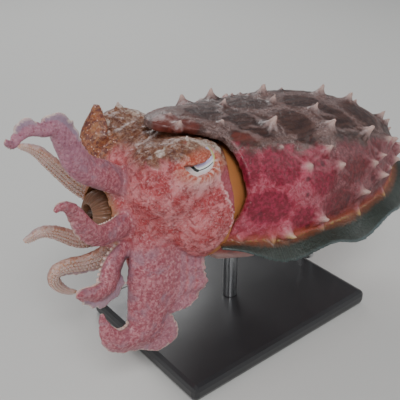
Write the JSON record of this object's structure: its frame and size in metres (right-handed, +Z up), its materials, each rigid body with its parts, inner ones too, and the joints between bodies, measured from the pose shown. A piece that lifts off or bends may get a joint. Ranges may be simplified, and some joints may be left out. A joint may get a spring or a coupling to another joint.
{
  "type": "broadclub cuttlefish",
  "caption": "Life-size broadclub cuttlefish hovering in a defensive pose with arms raised and splayed, papillae erect, held by two rods on a plain flat display stand.",
  "frame": {"origin": "centre of the underside of the stand's base, on the surface it stands on", "axes": "+Z up; +X runs along the body towards the tail, so the arms point to -X; the animal's left side, with the raised arm, is towards -Y"},
  "size_m": [0.2267, 0.1085, 0.1344],
  "materials": {
    "mantle_skin": "moist mauve-brown and crimson skin with a net of pale lines",
    "head_skin": "moist pink-red skin with fine dark red speckle and a pale brow",
    "arm_skin": "moist pink skin with mauve webs and cream inner faces",
    "neck_skin": "smooth orange-brown skin",
    "fin_membrane": "thin smoky grey-green membrane",
    "mouth_skin": "folded pale lips",
    "beak_horn": "dark polished horn",
    "eye_gloss": "wet white eye with a black W-shaped pupil",
    "stand_lacquer": "satin black lacquer",
    "rod_steel": "brushed"
  },
  "bodies": {
    "root": {"mantle": "mantle_skin", "fin_left": "fin_membrane", "fin_right": "fin_membrane", "neck": "neck_skin", "head": "head_skin", "eye_left": "eye_gloss", "eye_right": "eye_gloss", "mouth_lips": "mouth_skin", "beak": "beak_horn", "funnel": "arm_skin", "arm_left_1_base": "arm_skin", "arm_left_1_middle": "arm_skin", "arm_left_1_tip": "arm_skin", "arm_left_2_base": "arm_skin", "arm_left_2_middle": "arm_skin", "arm_left_2_tip": "arm_skin", "arm_left_3_base": "arm_skin", "arm_left_3_middle": "arm_skin", "arm_left_3_tip": "arm_skin", "arm_left_4_base": "arm_skin", "arm_left_4_middle": "arm_skin", "arm_left_4_tip": "arm_skin", "arm_right_1_base": "arm_skin", "arm_right_1_middle": "arm_skin", "arm_right_1_tip": "arm_skin", "arm_right_2_base": "arm_skin", "arm_right_2_middle": "arm_skin", "arm_right_2_tip": "arm_skin", "arm_right_3_base": "arm_skin", "arm_right_3_middle": "arm_skin", "arm_right_3_tip": "arm_skin", "arm_right_4_base": "arm_skin", "arm_right_4_middle": "arm_skin", "arm_right_4_tip": "arm_skin", "stand_base": "stand_lacquer", "stand_rod_front": "rod_steel", "stand_rod_rear": "rod_steel"}
  },
  "joints": []
}
